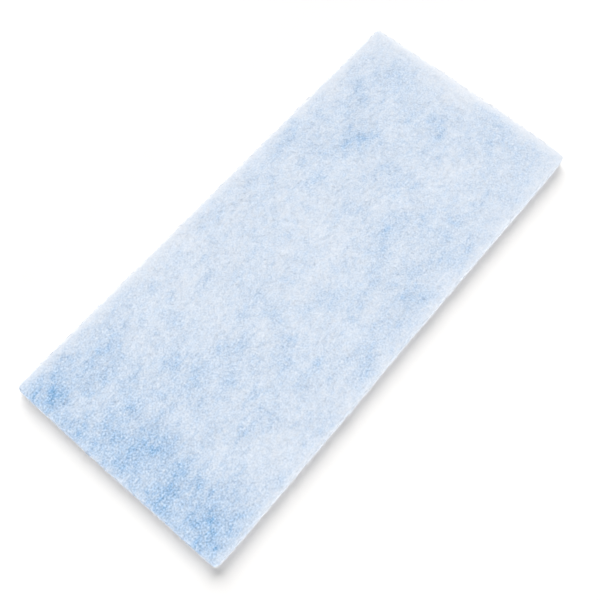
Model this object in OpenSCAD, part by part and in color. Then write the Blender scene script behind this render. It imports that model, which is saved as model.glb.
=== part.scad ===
// Bonded polyester filter pad: eight carded fibre webs, laid one on another and heat bonded.
// Millimetres. The origin is the centre of the rest face, +X runs along the pad and
// +Z points up through the webs, out of the open blue face that dirty water meets first.

/* [Pad] */
// Length of the pad, along X
pad_length = 250; // [100:5:500]
// Width of the pad, along Y
pad_width = 115; // [50:5:300]
// Radius of the cut corners, seen from above
corner_radius = 1; // [0.5:0.5:8]
// How far the knife pinches in the outermost webs at the cut edge
edge_pinch = 0.4; // [0:0.1:1.5]

/* [Webs] */
// Thickness of each open web on the blue side
blue_web_thickness = 0.9; // [0.4:0.1:2]
// Thickness of each finer web in the white core
white_web_thickness = 0.7; // [0.3:0.1:2]
// Thickness of the pressed web that backs the pad
back_web_thickness = 0.5; // [0.2:0.1:1.5]

/* [Hidden] */

// Webs in the order they are laid, from the back of the pad up to its face
laid_thicknesses = [
    back_web_thickness,
    white_web_thickness,
    white_web_thickness,
    white_web_thickness,
    white_web_thickness,
    blue_web_thickness,
    blue_web_thickness,
    blue_web_thickness
];
pad_thickness = web_bottom(len(laid_thicknesses));
pinch_step = 0.05;
$fn = 48;

// Height of the underside of the web that is laid as number `lap`, counted from 0
function web_bottom(lap) =
    lap == 0 ? 0 : web_bottom(lap - 1) + laid_thicknesses[lap - 1];

// Distance of a web's middle from the pad's mid-plane, from 0 there to 1 at either face
function face_nearness(lap) =
    abs(2 * (web_bottom(lap) + laid_thicknesses[lap] / 2) / pad_thickness - 1);

// The pinched edge follows a quarter ellipse, in whole steps, so the webs nearest the faces
// are cut shortest
function web_pinch(lap) =
    pinch_step * round(edge_pinch * (1 - sqrt(1 - pow(face_nearness(lap), 2))) / pinch_step);

// Rectangle with true round corners, centred on the origin
module rounded_rectangle(length, width, radius) {
    square([length - 2 * radius, width], center = true);
    square([length, width - 2 * radius], center = true);
    for (side_x = [-1, 1], side_y = [-1, 1])
        translate([side_x * (length / 2 - radius), side_y * (width / 2 - radius)])
            circle(r = radius);
}

// One flat carded web, at the height of its place in the stack
module carded_web(lap) {
    translate([0, 0, web_bottom(lap)])
        linear_extrude(height = laid_thicknesses[lap])
            rounded_rectangle(
                pad_length - 2 * web_pinch(lap),
                pad_width - 2 * web_pinch(lap),
                corner_radius
            );
}

// The open, dyed face that traps coarse dirt
module blue_face_web() {
    color([0.70, 0.81, 0.94]) carded_web(7);
}

module blue_middle_web() {
    color([0.74, 0.84, 0.95]) carded_web(6);
}

module blue_inner_web() {
    color([0.80, 0.88, 0.96]) carded_web(5);
}

// The undyed web that joins the open blue side to the finer white core
module white_bonding_web() {
    color([0.90, 0.94, 0.98]) carded_web(4);
}

module white_upper_web() {
    color([0.94, 0.96, 0.98]) carded_web(3);
}

module white_lower_web() {
    color([0.95, 0.96, 0.98]) carded_web(2);
}

module white_fine_web() {
    color([0.96, 0.97, 0.98]) carded_web(1);
}

// The pressed skin that the pad rests on
module white_back_web() {
    color([0.97, 0.97, 0.97]) carded_web(0);
}

blue_face_web();
blue_middle_web();
blue_inner_web();
white_bonding_web();
white_upper_web();
white_lower_web();
white_fine_web();
white_back_web();
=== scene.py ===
"""Looks for a bonded fibre filter pad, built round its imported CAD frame.

Each CAD web is a flat slab. Here it becomes a soft, slightly uneven fleece web with a frayed
cut edge, and real crimped fibres lie on both faces and stand out of the cut edges.
Everything is in metres, in the CAD frame: +X runs along the pad and +Z points out of its face.
"""

import math

import bpy
import numpy as np
from mathutils import Matrix, Vector
from mathutils.geometry import delaunay_2d_cdt


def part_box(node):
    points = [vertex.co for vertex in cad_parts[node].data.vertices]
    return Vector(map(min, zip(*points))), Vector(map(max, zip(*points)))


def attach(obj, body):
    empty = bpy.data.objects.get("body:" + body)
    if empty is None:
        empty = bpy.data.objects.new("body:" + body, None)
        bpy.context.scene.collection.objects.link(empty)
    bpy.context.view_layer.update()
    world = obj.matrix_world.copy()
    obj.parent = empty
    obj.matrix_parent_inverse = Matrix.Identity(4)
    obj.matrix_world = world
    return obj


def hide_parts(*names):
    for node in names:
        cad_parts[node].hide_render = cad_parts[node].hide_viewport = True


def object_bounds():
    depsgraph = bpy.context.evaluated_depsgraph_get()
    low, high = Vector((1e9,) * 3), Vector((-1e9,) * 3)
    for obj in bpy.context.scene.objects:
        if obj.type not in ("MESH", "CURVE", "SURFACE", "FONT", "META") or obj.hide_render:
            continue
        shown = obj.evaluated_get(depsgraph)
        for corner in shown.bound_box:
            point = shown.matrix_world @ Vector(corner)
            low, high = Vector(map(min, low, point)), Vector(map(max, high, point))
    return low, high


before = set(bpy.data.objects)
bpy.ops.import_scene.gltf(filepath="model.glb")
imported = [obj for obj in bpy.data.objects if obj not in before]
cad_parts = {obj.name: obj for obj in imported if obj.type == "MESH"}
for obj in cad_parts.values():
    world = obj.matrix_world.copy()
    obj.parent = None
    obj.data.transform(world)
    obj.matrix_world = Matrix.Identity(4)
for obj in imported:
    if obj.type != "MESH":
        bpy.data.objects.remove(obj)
cad_low, cad_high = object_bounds()

MM = 0.001
FULL_TURN = 2 * math.pi
QUARTER_TURN = math.pi / 2

# ---------------------------------------------------------------- sizes, from the CAD frame

# From the back, which the pad rests on, to the blue face
WEBS = [
    "white_back_web",
    "white_fine_web",
    "white_lower_web",
    "white_upper_web",
    "white_bonding_web",
    "blue_inner_web",
    "blue_middle_web",
    "blue_face_web",
]
TOP_LEVEL = len(WEBS)
HALF_LENGTH = cad_high[0]
HALF_WIDTH = cad_high[1]
THICKNESS = cad_high[2]
CORNER_RADIUS = 1.0 * MM

web_boxes = [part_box(name) for name in WEBS]
LEVELS = np.array([low[2] for low, high in web_boxes] + [THICKNESS])
WEB_MIDDLES = (LEVELS[:-1] + LEVELS[1:]) / 2
WEB_INSETS = np.array([HALF_LENGTH - high[0] for low, high in web_boxes])

# ---------------------------------------------------------------- smooth random fields

LATTICE = 256
TURN_PER_LAYER = 2.4


def bumps(x, y, size, seed):
    """Smooth random heights from -1 to 1; size is how far apart the bumps are."""
    lattice = np.random.default_rng(seed).uniform(-1.0, 1.0, (LATTICE, LATTICE))
    u = x / size + LATTICE / 2
    v = y / size + LATTICE / 2
    column = np.floor(u).astype(int)
    row = np.floor(v).astype(int)
    across = (u - column) ** 2 * (3 - 2 * (u - column))
    along = (v - row) ** 2 * (3 - 2 * (v - row))
    column, next_column = column % LATTICE, (column + 1) % LATTICE
    row, next_row = row % LATTICE, (row + 1) % LATTICE
    near = lattice[row, column] * (1 - across) + lattice[row, next_column] * across
    far = lattice[next_row, column] * (1 - across) + lattice[next_row, next_column] * across
    return near * (1 - along) + far * along


def clouds(x, y, size, seed, layers=3):
    """Bumps on bumps: each layer is half the size of the last, half as strong, and turned."""
    total = 0.0
    strength = 1.0
    for layer in range(layers):
        turn = seed + TURN_PER_LAYER * layer
        across = x * math.cos(turn) - y * math.sin(turn)
        along = x * math.sin(turn) + y * math.cos(turn)
        total = total + strength * bumps(across, along, size, seed * 10 + layer)
        size = size / 2
        strength = strength / 2
    return total


def smooth_step(value, start, end):
    """0 up to start, 1 from end, and a smooth rise between them."""
    share = np.clip((value - start) / (end - start), 0.0, 1.0)
    return share * share * (3 - 2 * share)


def edge_distance(x, y):
    """How far a point lies inside the pad's outline."""
    return np.minimum(HALF_LENGTH - np.abs(x), HALF_WIDTH - np.abs(y))


# ---------------------------------------------------------------- where the blue dye lies

# Patches of strong dye (plus) and of thin dye (minus), listed one by one:
# centre x, centre y, half length and half width in mm, slant in degrees, strength.
DYE_PATCHES = [
    # The deep blue end
    (-113, 46, 8, 6, 20, 0.13),
    (-117.5, 44, 4, 3.5, 0, 0.30),
    (-123, 39, 3.5, 4, 0, -0.14),
    (-92, 40, 14, 6, 0, 0.14),
    (-92, 23, 8, 3, 10, 0.10),
    (-119, 8, 7, 7, 0, 0.10),
    (-103, -3, 11, 9, 60, 0.08),
    (-106, -20, 9, 4, 0, 0.13),
    (-115, -40, 11, 14, 0, 0.10),
    (-117, 29, 6, 5, 0, -0.06),
    # Loose clusters along the pad
    (-76, 4, 17, 10, -20, 0.09),
    (-58, -9, 14, 7, 0, 0.04),
    (-47, -6, 6, 4, 20, 0.09),
    (-40, -34, 9, 3, 0, 0.06),
    (-16, -47, 6, 4, 0, 0.07),
    (-25, 5, 9, 6, 40, 0.06),
    (-12, 22, 6, 3, 10, 0.07),
    (17, -24, 8, 3, 10, 0.13),
    (34, -15, 16, 7, -10, 0.08),
    (27, -43, 9, 5, 20, 0.07),
    (55, -40, 8, 4, 0, 0.07),
    (36, 24, 5, 4, 0, 0.10),
    (57, 36, 18, 6, -40, 0.10),
    (71, 22, 10, 5, -10, 0.12),
    (89, 42, 8, 5, 40, 0.14),
    (104, 37, 8, 8, 0, 0.09),
    (96, 6, 9, 14, 0, 0.05),
    (110, -26, 9, 9, 0, 0.06),
    (102, -48, 8, 3, 0, 0.06),
    (50, 48, 22, 7, 0, 0.04),
    (72, 6, 28, 7, 0, 0.03),
    (12, -49, 38, 6, 0, 0.09),
    # Thin places
    (-50, 9, 9, 5, -30, -0.05),
    (-41, 33, 8, 7, 0, -0.05),
    (-8, 38, 7, 6, 0, -0.04),
    (-45, 48, 30, 7, 0, -0.03),
    (-76, -45, 15, 8, 0, -0.11),
    (-70, -28, 12, 6, 0, -0.03),
    (5, -10, 18, 6, 0, -0.03),
    (-91, -30, 10, 8, 0, -0.06),
    (2, -4, 15, 10, 10, -0.05),
    (12, 14, 22, 4, 0, -0.05),
    (22, 28, 7, 6, 0, -0.05),
    (30, -50, 6, 5, 0, -0.05),
    (52, 20, 6, 6, 0, -0.06),
    (83, -21, 9, 6, -30, -0.06),
    (118, 6, 7, 18, 0, -0.08),
]
EVEN_DYE = 0.257
END_DYE = 0.235
END_DYE_REACH = 25 * MM
STREAK_SLANT = math.radians(9)
STREAK_STRETCH = 1.5
# How far the patches' outlines are pushed about: the size of the bends, and how far they reach
PATCH_WARP = [(12 * MM, 1.8 * MM), (3.4 * MM, 1.3 * MM)]
WARP_X_SEED = 13
WARP_Y_SEED = 14
# Lumps of thicker and thinner fleece: their size, and how much they change the dye
LUMPS = [(14 * MM, 0.08), (6.0 * MM, 0.16), (2.8 * MM, 0.14), (1.5 * MM, 0.13)]
LUMP_SEED = 11
# How far thick lumps outweigh thin ones, and the average that this gives
LUMP_PEAK = 1.2
LUMP_AVERAGE = 1.12
# For each cut: how far in the fleece is paler, and how much paler it is at the cut itself
# The paling is partly thinner fleece and partly painted light glowing through the edge, most on the
# cuts that face the key light
RIM_PALING_AND_GLOW = {
    "far_end": (3.6 * MM, 0.90),
    "plus_y_side": (3.0 * MM, 0.90),
    "minus_y_side": (2.0 * MM, 0.60),
    "blue_end": (1.0 * MM, 0.35),
}
# How much of the face's dye each blue web holds
DYE_SHARES = {"blue_face_web": 1.0, "blue_middle_web": 0.9, "blue_inner_web": 0.6}


def rim_paling_and_glow(x, y):
    """How much paler the fleece is near a cut, from 0 to 1: partly thinner fleece, partly painted light
    glowing through the edge.
    """
    to_cut = {
        "far_end": HALF_LENGTH - x,
        "plus_y_side": HALF_WIDTH - y,
        "minus_y_side": HALF_WIDTH + y,
        "blue_end": HALF_LENGTH + x,
    }
    fades = [
        strength * np.exp(-np.maximum(to_cut[cut], 0.0) / reach)
        for cut, (reach, strength) in RIM_PALING_AND_GLOW.items()
    ]
    return np.max(fades, axis=0)


def patch_strength(x, y):
    """What all the dye patches add at a point."""
    total = np.zeros_like(x)
    for centre_x, centre_y, half_length, half_width, slant, strength in DYE_PATCHES:
        turn = math.radians(slant)
        dx = x / MM - centre_x
        dy = y / MM - centre_y
        from_middle = (dx * math.cos(turn) + dy * math.sin(turn)) / half_length
        from_spine = (dy * math.cos(turn) - dx * math.sin(turn)) / half_width
        total += strength * np.exp(-(from_middle**2 + from_spine**2))
    return total


def dye(x, y):
    """How blue the fleece is at a point, from 0, undyed white, to 1, deepest blue; paler near the cuts,
    partly from painted light.
    """
    from_end = np.maximum(x + HALF_LENGTH, 0.0)
    along = (x * math.cos(STREAK_SLANT) + y * math.sin(STREAK_SLANT)) / STREAK_STRETCH
    across = y * math.cos(STREAK_SLANT) - x * math.sin(STREAK_SLANT)
    pushed_x, pushed_y = [
        place + sum(far * clouds(along, across, size, seed, layers=2) for size, far in PATCH_WARP)
        for place, seed in ((x, WARP_X_SEED), (y, WARP_Y_SEED))
    ]
    amount = EVEN_DYE + END_DYE * np.exp(-from_end / END_DYE_REACH) + patch_strength(pushed_x, pushed_y)
    for seed, (size, strength) in enumerate(LUMPS, start=LUMP_SEED):
        lump = np.exp(LUMP_PEAK * bumps(along, across, size, seed)) - LUMP_AVERAGE
        amount *= 1 + strength * lump
    return np.clip(amount, 0.0, 1.0) * (1 - rim_paling_and_glow(x, y))


# ---------------------------------------------------------------- the pad's soft shape

# Near the cuts the pad's face droops and its back lifts a little
PINCH_REACH = 1.0 * MM
PINCH_DROP = 0.055
BASE_LIFT = 0.20 * MM
# Waves between the webs, then bumps on the face (their size and depth) and on the back
LAP_WAVE = 0.20 * MM
LAP_WAVE_SIZE = 7 * MM
LAP_WAVE_SEED = 30
FACE_RELIEF = [(24 * MM, 0.08 * MM), (5 * MM, 0.018 * MM), (1.6 * MM, 0.009 * MM)]
FACE_RELIEF_SEED = 21
BACK_RELIEF = 0.05 * MM
BACK_RELIEF_SIZE = 2.2 * MM
BACK_RELIEF_SEED = 30
# How the knife wandered: the size of the bends, and how far out and in they go
CUT_WANDER = [(45 * MM, 0.25 * MM), (9 * MM, 0.06 * MM)]
CUT_SEEDS = {"far_end": 40, "blue_end": 50, "plus_y_side": 60, "minus_y_side": 70}
# The fray on the cuts, and how deep into the fleece the cuts' bends are felt
FRAY = 0.12 * MM
FRAY_SIZE = 1.5 * MM
WANDER_DEPTH = 3.0 * MM
# The far end bows out in its middle, and the corners are worn in
FAR_END_BOW = 1.0 * MM
CORNER_WEAR = 0.6 * MM
CORNER_WEAR_REACH = 2.5 * MM


def lap_height(level, x, y):
    """Height of the surface under web number level; TOP_LEVEL gives the pad's blue face."""
    at_edge = np.exp(-np.maximum(edge_distance(x, y), 0.0) / PINCH_REACH)
    share = level / TOP_LEVEL
    height = LEVELS[level] * (1 - PINCH_DROP * at_edge) + BASE_LIFT * (1 - share) * at_edge
    if level == TOP_LEVEL:
        for seed, (size, depth) in enumerate(FACE_RELIEF, start=FACE_RELIEF_SEED):
            height = height + depth * clouds(x, y, size, seed, layers=2)
        return height
    if level == 0:
        return height + BACK_RELIEF * (1 + bumps(x, y, BACK_RELIEF_SIZE, BACK_RELIEF_SEED))
    return height + LAP_WAVE * clouds(x, y, LAP_WAVE_SIZE, LAP_WAVE_SEED + level)


def cut_shift(place, cut, fray_seed):
    """How far out a cut wandered, place by place along it; fray_seed frays each web in its own way."""
    straight = np.zeros_like(place)
    wander = sum(
        depth * bumps(place, straight, size, CUT_SEEDS[cut] + step)
        for step, (size, depth) in enumerate(CUT_WANDER)
    )
    return wander + FRAY * clouds(place, straight, FRAY_SIZE, fray_seed + CUT_SEEDS[cut], layers=2)


def wandered(x, y, fray_seed):
    """Moves points near the outline as a hand-held knife cuts fleece, and wears the corners in."""
    near_end = np.exp(-np.maximum(HALF_LENGTH - np.abs(x), 0.0) / WANDER_DEPTH)
    near_side = np.exp(-np.maximum(HALF_WIDTH - np.abs(y), 0.0) / WANDER_DEPTH)
    bow = FAR_END_BOW * (1 - (y / HALF_WIDTH) ** 2) * (x > 0)
    end_shift = np.where(x > 0, cut_shift(y, "far_end", fray_seed), cut_shift(y, "blue_end", fray_seed))
    side_shift = np.where(
        y > 0, cut_shift(x, "plus_y_side", fray_seed), cut_shift(x, "minus_y_side", fray_seed)
    )
    to_corner = np.hypot(HALF_LENGTH - np.abs(x), HALF_WIDTH - np.abs(y))
    worn = CORNER_WEAR * np.exp(-to_corner / CORNER_WEAR_REACH)
    out_x = near_end * (end_shift + bow) - worn
    out_y = near_side * side_shift - worn
    return x + np.sign(x) * out_x, y + np.sign(y) * out_y


CORNERS = [(1, 1), (-1, 1), (-1, -1), (1, -1)]
SMALLEST_RADIUS = 0.3 * MM
LEAST_ARC_STEPS = 2


def outline(inset, spacing):
    """Evenly spaced points round the pad's outline, anticlockwise, with their outward normals."""
    half_x = HALF_LENGTH - inset
    half_y = HALF_WIDTH - inset
    radius = max(CORNER_RADIUS - inset, SMALLEST_RADIUS)
    arc_steps = max(LEAST_ARC_STEPS, math.ceil(radius * QUARTER_TURN / spacing))
    points, normals = [], []
    for quarter, (side_x, side_y) in enumerate(CORNERS):
        centre = np.array([side_x * (half_x - radius), side_y * (half_y - radius)])
        for step in range(arc_steps + 1):
            angle = QUARTER_TURN * (quarter + step / arc_steps)
            normal = np.array([math.cos(angle), math.sin(angle)])
            points.append(centre + radius * normal)
            normals.append(normal)
        run = 2 * ((half_x if quarter % 2 == 0 else half_y) - radius)
        run_steps = math.ceil(run / spacing)
        forward = np.array([-normals[-1][1], normals[-1][0]])
        start = points[-1]
        for step in range(1, run_steps):
            points.append(start + forward * run * step / run_steps)
            normals.append(normals[-1])
    return np.array(points), np.array(normals)


# ---------------------------------------------------------------- meshes

# The map that the materials are baked on: the wall strips lowest, then the back, then the face
BAKE_MAP = "OFBake"
MAP_SPAN = 1.04 * 2 * HALF_LENGTH
WALL_MAP_V = 0.01
BACK_MAP_V = 0.065
FACE_MAP_V = 0.53


def make_object(name, points, triangles, corner_uv, material):
    """A smooth-shaded mesh object; corner_uv is a place in the bake's map for each triangle corner."""
    mesh = bpy.data.meshes.new(name)
    mesh.vertices.add(len(points))
    mesh.vertices.foreach_set("co", np.ascontiguousarray(points, dtype=np.float32).ravel())
    mesh.loops.add(triangles.size)
    mesh.loops.foreach_set("vertex_index", np.ascontiguousarray(triangles, dtype=np.int32).ravel())
    mesh.polygons.add(len(triangles))
    mesh.polygons.foreach_set("loop_start", np.arange(0, triangles.size, 3, dtype=np.int32))
    mesh.polygons.foreach_set("use_smooth", np.ones(len(triangles), dtype=bool))
    bake_map = mesh.uv_layers.new(name=BAKE_MAP)
    bake_map.data.foreach_set("uv", np.ascontiguousarray(corner_uv, dtype=np.float32).ravel())
    mesh.update(calc_edges=True)
    mesh.materials.append(material)
    piece = bpy.data.objects.new(name, mesh)
    bpy.context.scene.collection.objects.link(piece)
    return piece


def seen_from_above(points, triangles, low_v=BACK_MAP_V):
    """Map places of triangles by their X and Y: the pad's length fills nearly the map's whole width."""
    u = points[:, 0] / MAP_SPAN + 0.5
    v = (points[:, 1] + HALF_WIDTH) / MAP_SPAN + low_v
    return np.stack([u, v], axis=1)[triangles]


def paint(piece, attribute, values):
    """Stores one number for each point, for the material to read."""
    layer = piece.data.attributes.new(attribute, "FLOAT", "POINT")
    layer.data.foreach_set("value", np.ascontiguousarray(values, dtype=np.float32))


# ---------------------------------------------------------------- webs

RIM_SPACING = 0.6 * MM
# Rings of points inside the outline, where a web is hidden: how far in, and their spacing, in mm
HIDDEN_RINGS = [
    (0.7, 0.8),
    (1.8, 1.4),
    (3.6, 2.2),
    (7.0, 4.0),
    (13.0, 7.0),
    (24.0, 12.0),
    (40.0, 20.0),
]
# Where a web shows: rows of points in equal triangles, shaken by a share of their spacing
SHOWN_SPACING = 0.74 * MM
ROW_SHARE = math.sqrt(0.75)
SHAKE = 0.22
SHAKE_SEED = 5
# Rows of points up a cut edge, as shares of the web's height
WALL_ROWS = [0.2, 0.5, 0.8]
LAP_BULGE = 0.34 * MM
BULGE_SIZE = 4 * MM
BULGE_AVERAGE = 0.6
BULGE_SWING = 0.4
WALL_FRAY_SHARE = 0.5
# Each web has a run of seeds of its own, and its edge's bulge and fray are places in that run
WEB_SEED = 100
SEEDS_PER_WEB = 20
BULGE_SEED = 5
WALL_FRAY_SEED = 7
# What Blender's triangulation is asked for: only what lies inside the rim
INSIDE_ONLY = 1
SAME_POINT = 1e-7


def shown_points():
    """Shaken rows of points that fill the outline, for a web that shows."""
    rows = int(2 * HALF_WIDTH / (SHOWN_SPACING * ROW_SHARE))
    columns = int(2 * HALF_LENGTH / SHOWN_SPACING)
    rng = np.random.default_rng(SHAKE_SEED)
    shake = rng.uniform(-SHAKE, SHAKE, (rows, columns, 2)) * SHOWN_SPACING
    row, column = np.mgrid[0:rows, 0:columns]
    x = (column + 0.5 * (row % 2) - columns / 2) * SHOWN_SPACING + shake[..., 0]
    y = (row - rows / 2) * SHOWN_SPACING * ROW_SHARE + shake[..., 1]
    clearance = 0.5 * SHOWN_SPACING
    corner_x = np.abs(x) - (HALF_LENGTH - CORNER_RADIUS)
    corner_y = np.abs(y) - (HALF_WIDTH - CORNER_RADIUS)
    in_corner = (corner_x > 0) & (corner_y > 0)
    in_round = np.hypot(corner_x, corner_y) < CORNER_RADIUS - clearance
    keep = (edge_distance(x, y) > clearance) & (~in_corner | in_round)
    return np.stack([x[keep], y[keep]], axis=1)


def flat_layout(shown):
    """Flat points, triangles and the number of rim points: fine where a web shows, coarse if not."""
    rim, _ = outline(0.0, RIM_SPACING)
    if shown:
        inner = [shown_points()]
    else:
        inner = [outline(inset * MM, spacing * MM)[0] for inset, spacing in HIDDEN_RINGS]
    corners = [Vector(point / MM) for point in np.concatenate([rim, *inner])]
    rim_loop = list(range(len(rim)))
    found, _, faces, *_ = delaunay_2d_cdt(corners, [], [rim_loop], INSIDE_ONLY, SAME_POINT)
    triangles = np.array([face for face in faces if len(face) == 3])
    return np.array([tuple(point) for point in found]) * MM, triangles, len(rim)


def wall_strip(lower_start, upper_start, count, row):
    """Triangles that join two closed loops of points, one above the other, and their map places."""
    here = np.arange(count)
    after = (here + 1) % count
    first = np.stack([lower_start + here, lower_start + after, upper_start + after], axis=1)
    second = np.stack([lower_start + here, upper_start + after, upper_start + here], axis=1)
    low_v = WALL_MAP_V * (1 + row)
    high_v = low_v + WALL_MAP_V
    low_here, low_after, high_after, high_here = [
        np.stack([place / count, np.full(count, v)], axis=1)
        for place, v in [(here, low_v), (here + 1, low_v), (here + 1, high_v), (here, high_v)]
    ]
    first_uv = np.stack([low_here, low_after, high_after], axis=1)
    second_uv = np.stack([low_here, high_after, high_here], axis=1)
    return np.concatenate([first, second]), np.concatenate([first_uv, second_uv])


def wall_points(bottom_rim, top_rim, row, share, fray_seed):
    """One row of points up a cut edge: it bulges between the faces and is ragged."""
    _, normals = outline(0.0, RIM_SPACING)
    wall = bottom_rim * (1 - share) + top_rim * share
    towards = wall[:, 0] + wall[:, 1]
    aside = wall[:, 0] - wall[:, 1]
    ragged = FRAY * bumps(towards, aside, FRAY_SIZE, fray_seed + WALL_FRAY_SEED + row)
    swell = bumps(towards, aside, BULGE_SIZE, fray_seed + BULGE_SEED)
    bulge = LAP_BULGE * (BULGE_AVERAGE + BULGE_SWING * swell) * math.sin(math.pi * share)
    wall[:, :2] += normals * (bulge + WALL_FRAY_SHARE * ragged)[:, None]
    return wall


def web_walls(bottom, top, rim_count, fray_seed):
    """Points of a web's cut edge, row by row, with the edge's triangles and their map places."""
    walls = []
    loop_starts = [0]
    for row, share in enumerate(WALL_ROWS):
        walls.append(wall_points(bottom[:rim_count], top[:rim_count], row, share, fray_seed))
        loop_starts.append(len(bottom) + len(top) + row * rim_count)
    loop_starts.append(len(bottom))
    strips = [
        wall_strip(lower, upper, rim_count, row)
        for row, (lower, upper) in enumerate(zip(loop_starts[:-1], loop_starts[1:]))
    ]
    triangles, places = zip(*strips)
    return walls, triangles, places


def cut_marks(lap, rim_count, bottom_count, top_count, count):
    """1 on a web's cut edge; 0 elsewhere, and 0 on the rims of the pad's own face and back."""
    marks = np.zeros(count)
    marks[bottom_count + top_count:] = 1.0
    if lap > 0:
        marks[:rim_count] = 1.0
    if lap < TOP_LEVEL - 1:
        marks[bottom_count:bottom_count + rim_count] = 1.0
    return marks


def make_web(lap, top_layout, bottom_layout, material):
    """One web as a closed, softly uneven sheet in the place of its CAD slab."""
    name = WEBS[lap]
    scale = np.array([1 - WEB_INSETS[lap] / HALF_LENGTH, 1 - WEB_INSETS[lap] / HALF_WIDTH])
    fray_seed = WEB_SEED + SEEDS_PER_WEB * lap

    def laid(flat, level):
        x, y = wandered(*(flat * scale).T, fray_seed)
        return np.stack([x, y, lap_height(level, x, y)], axis=1)

    bottom_flat, bottom_triangles, rim_count = bottom_layout
    top_flat, top_triangles, _ = top_layout
    bottom_triangles = bottom_triangles[:, ::-1]
    bottom = laid(bottom_flat, lap)
    top = laid(top_flat, lap + 1)
    walls, wall_triangles, wall_places = web_walls(bottom, top, rim_count, fray_seed)
    points = np.concatenate([bottom, top, *walls])
    triangles = np.concatenate([bottom_triangles, top_triangles + len(bottom), *wall_triangles])
    bottom_places = seen_from_above(bottom, bottom_triangles)
    top_places = seen_from_above(top, top_triangles, FACE_MAP_V)
    places = np.concatenate([bottom_places, top_places, *wall_places])
    piece = make_object(name + "_fleece", points, triangles, places, material)
    paint(piece, "dye", DYE_SHARES.get(name, 0.0) * dye(points[:, 0], points[:, 1]))
    # The cut marks place the painted shade of the cut edge's hollows
    paint(piece, "cut", cut_marks(lap, rim_count, len(bottom), len(top), len(points)))
    return piece


# ---------------------------------------------------------------- fibres

TUBE_SIDES = 3
# A fibre thins towards both ends: the stretch of half a wave that it follows, and how blunt it is
TAPER_FROM = 0.08
TAPER_TO = 0.92
TAPER_POWER = 0.35
# Below this, a fibre's direction is too steep to give a level side
LEAST_SIDE = 1e-3
TINY = 1e-12
# Fibres bend slowly, and crimp in two sizes of wave
BEND_RADIUS = 16 * MM
CRIMP_WAVES = [9 * MM, 3.6 * MM]
CRIMP_WAVE_SPREAD = (0.7, 1.4)
CRIMP = 0.75
CRIMP_SPREAD = (0.5, 1.1)


def tube_triangles(fibres, steps):
    """Triangles of closed tubes whose points run fibre by fibre, step by step, side by side."""
    start = (np.arange(fibres)[:, None] * steps + np.arange(steps)[None, :]) * TUBE_SIDES
    here, there = start[:, :-1], start[:, 1:]
    first, last = start[:, :1], start[:, -1:]
    triangles = []
    for corner in range(TUBE_SIDES):
        beside = (corner + 1) % TUBE_SIDES
        triangles.append(np.stack([here + corner, here + beside, there + beside], axis=2))
        triangles.append(np.stack([here + corner, there + beside, there + corner], axis=2))
    triangles.append(np.stack([first + 2, first + 1, first], axis=2))
    triangles.append(np.stack([last, last + 1, last + 2], axis=2))
    return np.concatenate([group.reshape(-1, 3) for group in triangles])


def fibre_tubes(name, paths, radii, dyes, material):
    """Thin closed tubes along paths (fibres x steps x 3), each with its own radius and dye."""
    fibres, steps, _ = paths.shape
    tangents = np.gradient(paths, axis=1)
    tangents /= np.linalg.norm(tangents, axis=2, keepdims=True) + TINY
    side = np.cross(tangents, np.array([0.0, 0.0, 1.0]))
    side_length = np.linalg.norm(side, axis=2, keepdims=True)
    side = np.where(side_length > LEAST_SIDE, side / (side_length + TINY), np.array([1.0, 0.0, 0.0]))
    upright = np.cross(side, tangents)
    taper = np.sin(np.pi * np.linspace(TAPER_FROM, TAPER_TO, steps)) ** TAPER_POWER
    rings = []
    for corner in range(TUBE_SIDES):
        angle = FULL_TURN * corner / TUBE_SIDES + QUARTER_TURN
        ring = math.cos(angle) * side + math.sin(angle) * upright
        rings.append(paths + ring * (radii[:, None] * taper[None, :])[..., None])
    points = np.stack(rings, axis=2).reshape(-1, 3)
    triangles = tube_triangles(fibres, steps)
    piece = make_object(name, points, triangles, seen_from_above(points, triangles), material)
    paint(piece, "dye", np.repeat(dyes.reshape(-1), TUBE_SIDES))
    return piece


def wavy_paths(rng, count, steps, lengths, headings):
    """Flat crimped paths about the origin (count x steps x 2): bends on a long bend."""
    travel = np.linspace(-0.5, 0.5, steps)[None, :] * lengths[:, None]
    bend = rng.normal(0.0, 1 / BEND_RADIUS, (count, 1))
    heading = headings[:, None] + bend * travel
    for wave in CRIMP_WAVES:
        length = wave * rng.uniform(*CRIMP_WAVE_SPREAD, (count, 1))
        phase = rng.uniform(0, FULL_TURN, (count, 1))
        strength = CRIMP * rng.uniform(*CRIMP_SPREAD, (count, 1))
        heading = heading + strength * np.sin(FULL_TURN * travel / length + phase)
    step = lengths[:, None, None] / (steps - 1)
    path = np.cumsum(np.stack([np.cos(heading), np.sin(heading)], axis=2) * step, axis=1)
    return path - path.mean(axis=1, keepdims=True)


# ---------------------------------------------------------------- fibres that lie on a face

# Steps along each fibre, then the least and the most of its length, radius and height, in mm
FACE_FIBRES = {"steps": 18, "lengths": (5, 18), "radii": (0.013, 0.025), "lifts": (-0.045, 0.030)}
LOOSE_LOOPS = {"steps": 20, "lengths": (4, 12), "radii": (0.014, 0.024), "lifts": (-0.10, 0.14)}
BACK_FIBRES = {"steps": 18, "lengths": (5, 18), "radii": (0.016, 0.028), "lifts": (-0.040, 0.025)}
# Carding combs this share of the fibres about one heading, and the rest lie any way
CARDED_SHARE = 0.5
CARDED_SLANT = math.radians(8)
CARDED_SPREAD = math.radians(24)
# How often a fibre dips into the face, and how far it keeps inside the outline and above the floor
DIPS = (1.0, 3.5)
FIBRE_CLEARANCE = 0.5 * MM
FLOOR_CLEARANCE = 0.02 * MM
# A dyed fibre has dye of its own and a share of the dye round it; an undyed one has only a share
DYED_FIBRE = 0.13
DYED_SHARE = 0.85
UNDYED_SHARE = 0.70
SHADE_SPREAD = 0.03
DEEPEST_SHADE = 1.3


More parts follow.
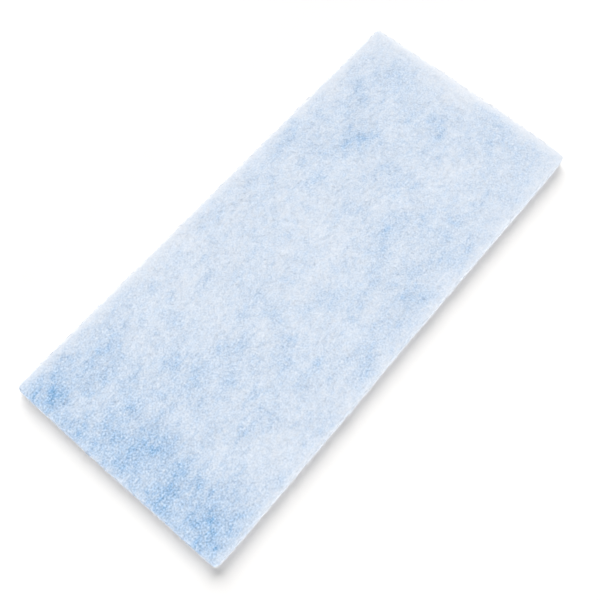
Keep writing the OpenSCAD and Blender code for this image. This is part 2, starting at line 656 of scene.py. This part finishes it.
def scattered_paths(rng, count, steps, lengths):
    """Flat fibre paths scattered inside the outline. Twice as many are drawn as are kept."""
    drawn = count * 2
    length = rng.uniform(*lengths, drawn) * MM
    lengthwise = rng.normal(CARDED_SLANT, CARDED_SPREAD, drawn)
    any_way = rng.uniform(0, math.pi, drawn)
    heading = np.where(rng.random(drawn) < CARDED_SHARE, lengthwise, any_way)
    flat = wavy_paths(rng, drawn, steps, length, heading)
    centre = rng.uniform(-1, 1, (drawn, 1, 2)) * np.array([HALF_LENGTH, HALF_WIDTH])
    flat = flat + centre
    inside = edge_distance(flat[..., 0], flat[..., 1]).min(axis=1) > FIBRE_CLEARANCE
    return flat[inside][:count]


def lying_fibres(rng, count, steps, lengths, radii, lifts):
    """Places, heights above the face and radii of fibres that dip in and out of a face."""
    flat = scattered_paths(rng, count, steps, lengths)
    count = len(flat)
    travel = np.linspace(0, 1, steps)[None, :]
    dips = rng.uniform(*DIPS, (count, 1))
    phase = rng.uniform(0, FULL_TURN, (count, 1))
    rise = 0.5 + 0.5 * np.sin(FULL_TURN * dips * travel + phase)
    low, high = lifts
    lift = (low + (high - low) * rise) * MM
    radius = rng.uniform(*radii, count) * MM
    return flat[..., 0], flat[..., 1], lift, radius


def face_fibres(name, seed, count, sizes, dyed_share, material):
    """Fibres that lie on the blue face; dyed_share sets how many of them are dyed ones."""
    rng = np.random.default_rng(seed)
    x, y, lift, radius = lying_fibres(rng, count, **sizes)
    z = lap_height(TOP_LEVEL, x, y) + lift
    local = dye(x, y)
    dyed = rng.random((len(x), 1)) < dyed_share * local.mean(axis=1, keepdims=True)
    shade = np.where(dyed, DYED_FIBRE + DYED_SHARE * local, UNDYED_SHARE * local)
    shade = np.clip(shade + rng.normal(0, SHADE_SPREAD, (len(x), 1)), 0, DEEPEST_SHADE)
    return fibre_tubes(name, np.stack([x, y, z], axis=2), radius, shade, material)


def back_fibres(name, seed, count, sizes, material):
    """Undyed fibres pressed flat on the back, clear of the floor."""
    rng = np.random.default_rng(seed)
    x, y, lift, radius = lying_fibres(rng, count, **sizes)
    z = np.maximum(lap_height(0, x, y) - lift, FLOOR_CLEARANCE)
    return fibre_tubes(name, np.stack([x, y, z], axis=2), radius, np.zeros_like(x), material)


# ---------------------------------------------------------------- fibres at the cut edges

# The outline in fine steps, which the roots of the cut ends are placed on
CUT_STEP = 0.25 * MM
CUT_RIM, CUT_NORMALS = outline(0.0, CUT_STEP)
CUT_ENDS_FRAY_SEED = 100
# Steps along each cut end, their lengths and radii in mm, and the spread of their slants
CUT_END_STEPS = 10
CUT_END_LENGTHS = (2.0, 6.0)
CUT_END_RADII = (0.025, 0.05)
CUT_END_SLANT = 0.8
LOOP_SHARE = 0.6
# How far a cut end reaches out: a gamma spread in mm, from a root inside the fleece, on a curve
REACH_SHAPE = 2.0
REACH_SCALE = 0.14
ROOT_DEPTH = 0.45 * MM
END_CURVE = 1.6
# Where up the edge they stand, as shares of the thickness, and how much flatter than their slant
ROOT_HEIGHTS = (0.06, 0.97)
UPWARD_SHARE = 0.7
HEIGHT_MARGIN = 0.10 * MM
# Wobbles along the cut and up it: how many waves, how high in metres, and the last phase in radians
ALONG_WAVES = (0.8, 2.2)
ALONG_WOBBLE = 0.25 * MM
UPWARD_WAVES = (0.6, 2.0)
UPWARD_WOBBLE = 0.12 * MM
LAST_PHASE = 6
# Dye starts and is full at these shares of the thickness
BLUE_BAND = (0.52, 0.75)
CUT_SHADES = (0.3, 1.3)
LEAST_CUT_DYE = 0.05


def wobble(rng, count, travel, waves, height):
    """A sine wave along each of the cut ends, each with its own wave number and phase."""
    number = rng.uniform(*waves, (count, 1))
    phase = rng.uniform(0, LAST_PHASE, (count, 1))
    return height * np.sin(FULL_TURN * number * travel + phase)


def along_cut(place, drift):
    """Points on the outline, at a distance along it from one of its points, and their normals."""
    whole_steps = np.round(drift / CUT_STEP)
    index = (place + whole_steps.astype(int)) % len(CUT_RIM)
    normal = CUT_NORMALS[index]
    forward = np.stack([-normal[..., 1], normal[..., 0]], axis=2)
    return CUT_RIM[index] + forward * (drift - whole_steps * CUT_STEP)[..., None], normal


def edge_fibres(name, seed, count, material):
    """Short cut ends and loops that stand out of the four cut edges."""
    rng = np.random.default_rng(seed)
    place = rng.integers(0, len(CUT_RIM), (count, 1))
    length = rng.uniform(*CUT_END_LENGTHS, (count, 1)) * MM
    travel = np.linspace(0, 1, CUT_END_STEPS)[None, :]
    slant = rng.normal(0, CUT_END_SLANT, (count, 1))
    drift = (travel - 0.5) * length * np.cos(slant)
    drift += wobble(rng, count, travel, ALONG_WAVES, ALONG_WOBBLE)
    loop = rng.random((count, 1)) < LOOP_SHARE
    reach = rng.gamma(REACH_SHAPE, REACH_SCALE, (count, 1)) * MM
    arch = np.where(loop, np.sin(math.pi * travel), travel**END_CURVE)
    out = arch * (reach + ROOT_DEPTH) - ROOT_DEPTH
    height = rng.uniform(*ROOT_HEIGHTS, (count, 1)) * THICKNESS
    z = height + (travel - 0.5) * length * np.sin(slant) * UPWARD_SHARE
    z += wobble(rng, count, travel, UPWARD_WAVES, UPWARD_WOBBLE)
    z = np.clip(z, HEIGHT_MARGIN, THICKNESS + HEIGHT_MARGIN)

    flat, normal = along_cut(place, drift)
    inset = np.interp(z, WEB_MIDDLES, WEB_INSETS)
    flat = flat + normal * (out - inset)[..., None]
    x, y = wandered(flat[..., 0], flat[..., 1], CUT_ENDS_FRAY_SEED)
    radius = rng.uniform(*CUT_END_RADII, count) * MM
    start, full = BLUE_BAND
    blue_band = smooth_step(z, start * THICKNESS, full * THICKNESS)
    shade = blue_band * rng.uniform(*CUT_SHADES, (count, 1)) * (dye(x, y) + LEAST_CUT_DYE)
    return fibre_tubes(name, np.stack([x, y, z], axis=2), radius, shade, material)


# ---------------------------------------------------------------- materials

WHITE_FIBRE = (0.822, 0.843, 0.881)
DEEP_DYE = (0.118, 0.412, 0.777)
# Mottles of dye: their size, and how much of them shows where there is no dye
MOTTLE_SIZE = 1.6 * MM
MOTTLE_STRETCH = 1.5
MOTTLE_LEAST = 0.20
# The tangle of paler fibres: the size of its curls, and how thick its lines are
TANGLE = [(1.7 * MM, 0.045), (2.6 * MM, 0.035)]
TANGLE_STRETCH = 1.3
# Painted shade in the gaps between fibres: their size, the dye that deepens them, their least depth,
# and their blue
GAP_SIZE = 0.85 * MM
GAP_DETAIL = 0.6
GAP_DYE_START = 0.04
GAP_LEAST = 0.05
GAP_BLUE = 0.45
# Deep dye is painted darker still: painted shade for the dimmer light among deeply dyed fibres and over
# the blue end
DYE_SHADE_START = 0.2
DYE_SHADE_DEPTH = 0.14
# Painted shade in the hollows between the fibres of a cut edge, drawn out along the edge
HOLLOW_SIZE = 0.25 * MM
HOLLOW_DETAIL = 1.5
HOLLOW_STRETCH = 7.0
HOLLOW_DEPTH = 0.60
HOLLOW_START = 0.17
# A matte, slightly uneven surface
ROUGHNESS = 0.82
ROUGHNESS_CHANGE = 0.16
ROUGHNESS_SIZE = 0.9 * MM
SHEEN = 0.12
SHEEN_ROUGHNESS = 0.6
SPECULAR = 0.2
# The felted bump
FELT_SIZE = 0.6 * MM
FELT_DETAIL = 2.0
FELT_STRETCH = 1.2
FELT_STRENGTH = 0.20
FELT_DEPTH = 0.15 * MM
TANGLE_HEIGHT = 0.7


class ShaderBuilder:
    """Short ways to add and link the shader nodes of one material."""

    def __init__(self, material):
        material.use_nodes = True
        self.nodes = material.node_tree.nodes
        self.links = material.node_tree.links
        self.shader = self.nodes["Principled BSDF"]
        self.place = self.add("ShaderNodeTexCoord").outputs["Object"]

    def add(self, kind, **settings):
        """A new node with some of its settings."""
        made = self.nodes.new(kind)
        for setting, value in settings.items():
            setattr(made, setting, value)
        return made

    def stored(self, attribute):
        """The number that paint stored on each point."""
        return self.add("ShaderNodeAttribute", attribute_name=attribute).outputs["Fac"]

    def maths(self, operation, first, second, clamp=False):
        """One step of arithmetic on two values, each a number or the output of a node."""
        made = self.add("ShaderNodeMath", operation=operation, use_clamp=clamp)
        for socket, value in zip(made.inputs, (first, second)):
            if isinstance(value, (int, float)):
                socket.default_value = value
            else:
                self.links.new(value, socket)
        return made.outputs[0]

    def noise(self, size, detail, along=1.0, across=1.0):
        """Noise with features of a size in metres, stretched along and across the pad."""
        stretched = self.add("ShaderNodeMapping")
        stretched.inputs["Scale"].default_value = (1 / along, 1 / across, 1)
        self.links.new(self.place, stretched.inputs["Vector"])
        made = self.add("ShaderNodeTexNoise")
        made.inputs["Scale"].default_value = 1 / size
        made.inputs["Detail"].default_value = detail
        self.links.new(stretched.outputs[0], made.inputs["Vector"])
        return made.outputs[0]

    def curls(self, size, width):
        """Thin curling lines where a noise crosses its middle value."""
        level = self.noise(size, 1.0, along=TANGLE_STRETCH)
        from_middle = self.maths("ABSOLUTE", self.maths("SUBTRACT", level, 0.5), 0.0)
        return self.maths("SUBTRACT", 1.0, self.maths("DIVIDE", from_middle, width), clamp=True)


def fibre_gap_shade(build, dye_amount, speckle):
    """Fine specks of painted shade and light in the gaps between fibres, stronger where there is more
    dye.
    """
    depth = build.maths("MAXIMUM", build.maths("SUBTRACT", dye_amount, GAP_DYE_START), GAP_LEAST)
    specks = build.maths("SUBTRACT", build.noise(GAP_SIZE, GAP_DETAIL), 0.5)
    return build.maths("MULTIPLY", specks, build.maths("MULTIPLY", depth, speckle))


def dyed_colour(build, dye_amount, tangle, gap_shade, grain, tangle_share):
    """White to deep blue by the dye, with mottles, paler tangles, and a bluer base where the gap shade
    is painted.
    """
    mottle = build.maths("SUBTRACT", build.noise(MOTTLE_SIZE, 1.0, along=MOTTLE_STRETCH), 0.5)
    mottle = build.maths("MULTIPLY", mottle, grain)
    mottle = build.maths("MULTIPLY", mottle, build.maths("ADD", dye_amount, MOTTLE_LEAST))
    paler = build.maths("MULTIPLY", tangle, build.maths("MULTIPLY", dye_amount, tangle_share))
    amount = build.maths("SUBTRACT", build.maths("ADD", dye_amount, mottle), paler)
    amount = build.maths("ADD", amount, build.maths("MULTIPLY", gap_shade, GAP_BLUE), clamp=True)
    mix = build.add("ShaderNodeMix", data_type="RGBA")
    mix.inputs["A"].default_value = (*WHITE_FIBRE, 1)
    mix.inputs["B"].default_value = (*DEEP_DYE, 1)
    build.links.new(amount, mix.inputs["Factor"])
    return mix.outputs["Result"]


def painted_shade(build, dye_amount, gap_shade):
    """How much darker the fleece is painted: painted shade in the gaps between fibres, where the dye is
    deep and in the hollows of a cut edge.
    """
    streaks = build.noise(HOLLOW_SIZE, HOLLOW_DETAIL, along=HOLLOW_STRETCH, across=HOLLOW_STRETCH)
    streaks = build.maths("MULTIPLY", streaks, HOLLOW_DEPTH)
    hollow_shade = build.maths("SUBTRACT", streaks, HOLLOW_START, clamp=True)
    cut_edge_shade = build.maths("MULTIPLY", build.stored("cut"), hollow_shade)
    deep_dye = build.maths("SUBTRACT", dye_amount, DYE_SHADE_START, clamp=True)
    dye_shade = build.maths("MULTIPLY", deep_dye, DYE_SHADE_DEPTH)
    return build.maths("ADD", build.maths("ADD", gap_shade, dye_shade), cut_edge_shade)


def fleece_material(name, grain, tangle_share, speckle):
    """Matte bonded fibre: dye in mottles, a fine tangle of paler fibres, painted shade in gaps, deep
    dye and cut-edge hollows, and a felted bump.
    """
    material = bpy.data.materials.new(name)
    build = ShaderBuilder(material)
    shader = build.shader
    dye_amount = build.stored("dye")
    tangle = build.maths("MAXIMUM", *[build.curls(size, width) for size, width in TANGLE])
    gap_shade = fibre_gap_shade(build, dye_amount, speckle)

    colour = build.add("ShaderNodeVectorMath", operation="SCALE")
    build.links.new(dyed_colour(build, dye_amount, tangle, gap_shade, grain, tangle_share), colour.inputs[0])
    # The colour is scaled down by the painted shade
    lightness = build.maths("SUBTRACT", 1.0, painted_shade(build, dye_amount, gap_shade))
    build.links.new(lightness, colour.inputs["Scale"])
    build.links.new(colour.outputs[0], shader.inputs["Base Color"])

    change = build.maths("MULTIPLY", build.noise(ROUGHNESS_SIZE, 1.0), ROUGHNESS_CHANGE)
    build.links.new(build.maths("ADD", ROUGHNESS, change, clamp=True), shader.inputs["Roughness"])
    shader.inputs["Sheen Weight"].default_value = SHEEN
    shader.inputs["Sheen Roughness"].default_value = SHEEN_ROUGHNESS
    shader.inputs["Specular IOR Level"].default_value = SPECULAR

    bump = build.add("ShaderNodeBump")
    bump.inputs["Strength"].default_value = FELT_STRENGTH
    bump.inputs["Distance"].default_value = FELT_DEPTH
    felt = build.noise(FELT_SIZE, FELT_DETAIL, along=FELT_STRETCH)
    height = build.maths("ADD", build.maths("MULTIPLY", tangle, TANGLE_HEIGHT), felt)
    build.links.new(height, bump.inputs["Height"])
    build.links.new(bump.outputs[0], shader.inputs["Normal"])
    return material


fleece = fleece_material("bonded_fleece", grain=0.38, tangle_share=0.25, speckle=1.6)
skin = fleece_material("pressed_fleece", grain=0.38, tangle_share=0.2, speckle=1.6)
fibre = fleece_material("loose_fibre", grain=0.15, tangle_share=0.0, speckle=0.9)

# ---------------------------------------------------------------- build the pad

# Fibres are made in batches, each small enough to be one piece
FACE_BATCHES = 7
BACK_BATCHES = 3
CUT_BATCHES = 4
LYING_BATCH = 1900
CUT_BATCH = 3200
LOOP_COUNT = 500
FACE_SEED = 200
LOOP_SEED = 230
BACK_SEED = 240
CUT_SEED = 250
# The share of the fibres on the face that are dyed ones, where the dye is full
DYED_FACE_FIBRES = 0.8
DYED_LOOPS = 0.5

shown_layout = flat_layout(shown=True)
hidden_layout = flat_layout(shown=False)
for lap, web_name in enumerate(WEBS):
    piece = make_web(
        lap,
        shown_layout if lap == TOP_LEVEL - 1 else hidden_layout,
        shown_layout if lap == 0 else hidden_layout,
        skin if lap == 0 else fleece,
    )
    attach(piece, "root")
    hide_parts(web_name)

face_tangle = [
    face_fibres(f"face_fibres_{n}", FACE_SEED + n, LYING_BATCH, FACE_FIBRES, DYED_FACE_FIBRES, fibre)
    for n in range(1, FACE_BATCHES + 1)
]
loose_loops = face_fibres("face_loose_loops", LOOP_SEED, LOOP_COUNT, LOOSE_LOOPS, DYED_LOOPS, fibre)
back_tangle = [
    back_fibres(f"back_fibres_{n}", BACK_SEED + n, LYING_BATCH, BACK_FIBRES, skin)
    for n in range(1, BACK_BATCHES + 1)
]
cut_ends = [
    edge_fibres(f"cut_edge_fibres_{n}", CUT_SEED + n, CUT_BATCH, fibre)
    for n in range(1, CUT_BATCHES + 1)
]

# The web that each batch of fibres lies on or, for the cut ends, one in the middle; every piece is
# attached to the root alone
LOOSE_FIBRES = {
    "blue_face_web": [*face_tangle, loose_loops],
    "white_upper_web": cut_ends,
    "white_back_web": back_tangle,
}
for web_name, fibre_pieces in LOOSE_FIBRES.items():
    for piece in fibre_pieces:
        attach(piece, "root")

# ---------------------------------------------------------------- floor

FLOOR_SIZE = 6.0
FLOOR_DIFFUSE = (0.885, 0.872, 0.858)
FLOOR_GLOW = 0.125


def make_floor():
    """A flat white floor that glows a little, as a light table does."""
    half = FLOOR_SIZE / 2
    corners = [(side_x * half, side_y * half, 0) for side_x, side_y in CORNERS]
    mesh = bpy.data.meshes.new("floor")
    mesh.from_pydata(corners, [], [(0, 1, 2, 3)])
    material = bpy.data.materials.new("white_floor")
    material.use_nodes = True
    shader = material.node_tree.nodes["Principled BSDF"]
    shader.inputs["Base Color"].default_value = (*FLOOR_DIFFUSE, 1)
    shader.inputs["Roughness"].default_value = 1.0
    shader.inputs["Specular IOR Level"].default_value = 0.0
    shader.inputs["Emission Color"].default_value = (1, 1, 1, 1)
    shader.inputs["Emission Strength"].default_value = FLOOR_GLOW
    mesh.materials.append(material)
    made = bpy.data.objects.new("floor", mesh)
    bpy.context.scene.collection.objects.link(made)
    return made


floor = make_floor()

# ---------------------------------------------------------------- light and camera

# Azimuth from +X, elevation and spread in degrees, then the light that a face turned to it gets
KEY_LIGHT = (50, 38, 60, 4.42)
FILL_LIGHT = (-130, 3.2, 6, 4.2)
SKY_STRENGTH = 0.15

CAMERA_AIM = Vector((-15.1 * MM, -8.7 * MM, THICKNESS))
CAMERA_DISTANCE = 399.8 * MM
CAMERA_AZIMUTH = math.radians(-142.9)
CAMERA_ELEVATION = math.radians(68.1)
CAMERA_ROLL = math.radians(3.3)
CAMERA_LENS = 53.6


def direction(azimuth, elevation):
    """Unit vector towards a place in the sky, from its azimuth and elevation in radians."""
    return Vector((
        math.cos(elevation) * math.cos(azimuth),
        math.cos(elevation) * math.sin(azimuth),
        math.sin(elevation),
    ))


def studio_light(name, azimuth, elevation, spread, strength):
    """An even studio light that shines on the whole pad from one side."""
    light = bpy.data.lights.new(name, "SUN")
    light.energy = strength
    light.angle = math.radians(spread)
    lamp = bpy.data.objects.new(name, light)
    lamp.rotation_mode = "QUATERNION"
    towards = direction(math.radians(azimuth), math.radians(elevation))
    lamp.rotation_quaternion = towards.to_track_quat("Z", "Y")
    bpy.context.scene.collection.objects.link(lamp)


def make_world():
    """A white backdrop that lights the pad only softly."""
    world = bpy.data.worlds.new("studio")
    bpy.context.scene.world = world
    world.use_nodes = True
    nodes = world.node_tree.nodes
    links = world.node_tree.links
    sky = nodes["Background"]
    sky.inputs["Strength"].default_value = SKY_STRENGTH
    backdrop = nodes.new("ShaderNodeBackground")
    for ambient in (sky, backdrop):
        ambient.inputs["Color"].default_value = (1, 1, 1, 1)
    seen = nodes.new("ShaderNodeLightPath")
    choice = nodes.new("ShaderNodeMixShader")
    links.new(seen.outputs["Is Camera Ray"], choice.inputs[0])
    links.new(sky.outputs[0], choice.inputs[1])
    links.new(backdrop.outputs[0], choice.inputs[2])
    links.new(choice.outputs[0], nodes["World Output"].inputs["Surface"])


def make_camera():
    """The camera, high over the corner between the blue end and the -Y side."""
    camera_data = bpy.data.cameras.new("camera")
    camera_data.lens = CAMERA_LENS
    camera = bpy.data.objects.new("camera", camera_data)
    back = direction(CAMERA_AZIMUTH, CAMERA_ELEVATION)
    camera.location = CAMERA_AIM + back * CAMERA_DISTANCE
    camera.rotation_mode = "QUATERNION"
    level_view = back.to_track_quat("Z", "Y").to_matrix()
    camera.rotation_quaternion = (level_view @ Matrix.Rotation(CAMERA_ROLL, 3, "Z")).to_quaternion()
    bpy.context.scene.collection.objects.link(camera)
    return camera


studio_light("key_light", *KEY_LIGHT)
studio_light("fill_light", *FILL_LIGHT)
make_world()
bpy.context.scene.camera = make_camera()
bpy.context.scene.view_settings.view_transform = "Standard"
